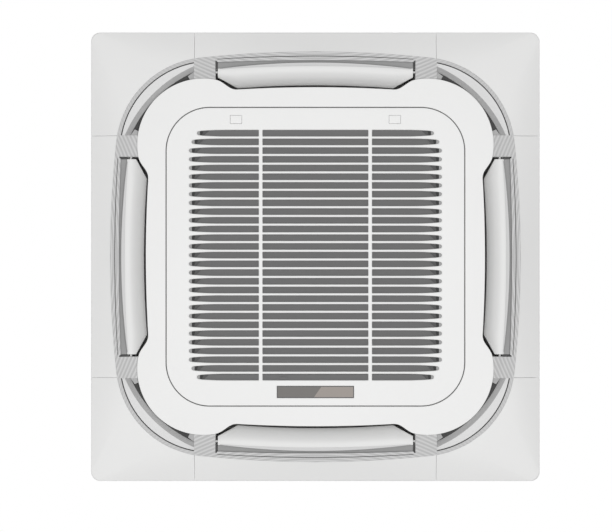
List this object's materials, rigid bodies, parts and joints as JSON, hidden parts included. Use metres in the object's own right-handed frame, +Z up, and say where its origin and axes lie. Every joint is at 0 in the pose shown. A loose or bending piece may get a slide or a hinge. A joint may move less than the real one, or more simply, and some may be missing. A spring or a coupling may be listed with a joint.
{
  "type": "ceiling cassette air conditioner",
  "caption": "Four-way ceiling cassette air conditioner with a hinged slotted intake grille, tilting outlet vanes and a turbo fan inside a heat exchanger ring.",
  "frame": {"origin": "centre of the panel on the ceiling plane", "axes": "+Z up into the ceiling; +Y towards the panel edge with the display window; +X towards the side the pipes leave by"},
  "size_m": [0.95, 0.95, 0.292],
  "materials": {
    "panel_white": "satin white ABS",
    "cover_white": "satin white ABS",
    "rib_grey": "light grey, finely ribbed",
    "display_grey": "smoky clear plastic",
    "filter_grey": "dark grey mesh and frame",
    "circuit_board": "green solder mask",
    "sheet_steel": "galvanised sheet",
    "plated_steel": "zinc plated",
    "white_foam": "moulded foam",
    "seal_foam": "dark foam sheet",
    "fin_aluminium": "finned coil",
    "fan_grey": "moulded grey plastic",
    "motor_grey": "grey moulded housing",
    "hose_white": "off-white hose",
    "copper": "bare copper",
    "brass": "bare brass"
  },
  "bodies": {
    "housing": {"panel_frame": "panel_white", "trim_ring": "rib_grey", "hub_plate": "panel_white", "panel_seal": "seal_foam", "vane_motor_1": "motor_grey", "vane_motor_2": "motor_grey", "vane_motor_3": "motor_grey", "vane_motor_4": "motor_grey", "panel_screw_1": "plated_steel", "panel_screw_2": "plated_steel", "panel_screw_3": "plated_steel", "panel_screw_4": "plated_steel", "hanger_bracket_1": "sheet_steel", "hanger_bracket_2": "sheet_steel", "hanger_bracket_3": "sheet_steel", "hanger_bracket_4": "sheet_steel", "cabinet_shell": "sheet_steel", "cabinet_insulation": "white_foam", "drain_pan": "white_foam", "heat_exchanger": "fin_aluminium", "bell_mouth": "fan_grey", "fan_motor": "motor_grey", "motor_bracket": "sheet_steel", "control_box": "sheet_steel", "control_box_cover": "sheet_steel", "control_board": "circuit_board", "drain_pump": "motor_grey", "float_switch": "hose_white", "drain_hose": "hose_white", "drain_port": "hose_white", "gas_pipe": "copper", "liquid_pipe": "copper", "gas_flare_nut": "brass", "liquid_flare_nut": "brass", "pipe_cover_plate": "sheet_steel"},
    "fan": {"turbo_fan": "fan_grey", "fan_nut": "plated_steel"},
    "grille": {"intake_grille": "panel_white", "filter_frame": "filter_grey", "filter_mesh": "filter_grey", "display_window": "display_grey", "display_board": "circuit_board"},
    "latch_1": {"latch_button_1": "panel_white"},
    "latch_2": {"latch_button_2": "panel_white"},
    "vane_1": {"vane_1": "panel_white"},
    "vane_2": {"vane_2": "panel_white"},
    "vane_3": {"vane_3": "panel_white"},
    "vane_4": {"vane_4": "panel_white"},
    "cover_1": {"corner_cover_1": "cover_white"},
    "cover_2": {"corner_cover_2": "cover_white"},
    "cover_3": {"corner_cover_3": "cover_white"},
    "cover_4": {"corner_cover_4": "cover_white"}
  },
  "joints": [
    {"name": "fan_spin", "type": "hinge", "parent": "housing", "child": "fan", "pos_m": [0, 0, 0.125], "axis": [0, 0, 1], "continuous": true},
    {"name": "grille_swing", "type": "hinge", "parent": "housing", "child": "grille", "pos_m": [0, 0.315, -0.034], "axis": [1, 0, 0], "range_deg": [0, 90]},
    {"name": "latch_1_press", "type": "slide", "parent": "grille", "child": "latch_1", "axis": [0, 0, 1], "range_m": [0, 0.004], "stiffness_N_per_m": 300},
    {"name": "latch_2_press", "type": "slide", "parent": "grille", "child": "latch_2", "axis": [0, 0, 1], "range_m": [0, 0.004], "stiffness_N_per_m": 300},
    {"name": "vane_1_tilt", "type": "hinge", "parent": "housing", "child": "vane_1", "pos_m": [0.39, 0, -0.0136], "axis": [0, 1, 0], "range_deg": [0, 50]},
    {"name": "vane_2_tilt", "type": "hinge", "parent": "housing", "child": "vane_2", "pos_m": [0, 0.39, -0.0136], "axis": [-1, 0, 0], "range_deg": [0, 50]},
    {"name": "vane_3_tilt", "type": "hinge", "parent": "housing", "child": "vane_3", "pos_m": [-0.39, 0, -0.0136], "axis": [0, -1, 0], "range_deg": [0, 50]},
    {"name": "vane_4_tilt", "type": "hinge", "parent": "housing", "child": "vane_4", "pos_m": [0, -0.39, -0.0136], "axis": [1, 0, 0], "range_deg": [0, 50]},
    {"name": "cover_1_lift_off", "type": "slide", "parent": "housing", "child": "cover_1", "axis": [0, 0, -1], "range_m": [0, 0.03]},
    {"name": "cover_2_lift_off", "type": "slide", "parent": "housing", "child": "cover_2", "axis": [0, 0, -1], "range_m": [0, 0.03]},
    {"name": "cover_3_lift_off", "type": "slide", "parent": "housing", "child": "cover_3", "axis": [0, 0, -1], "range_m": [0, 0.03]},
    {"name": "cover_4_lift_off", "type": "slide", "parent": "housing", "child": "cover_4", "axis": [0, 0, -1], "range_m": [0, 0.03]}
  ]
}
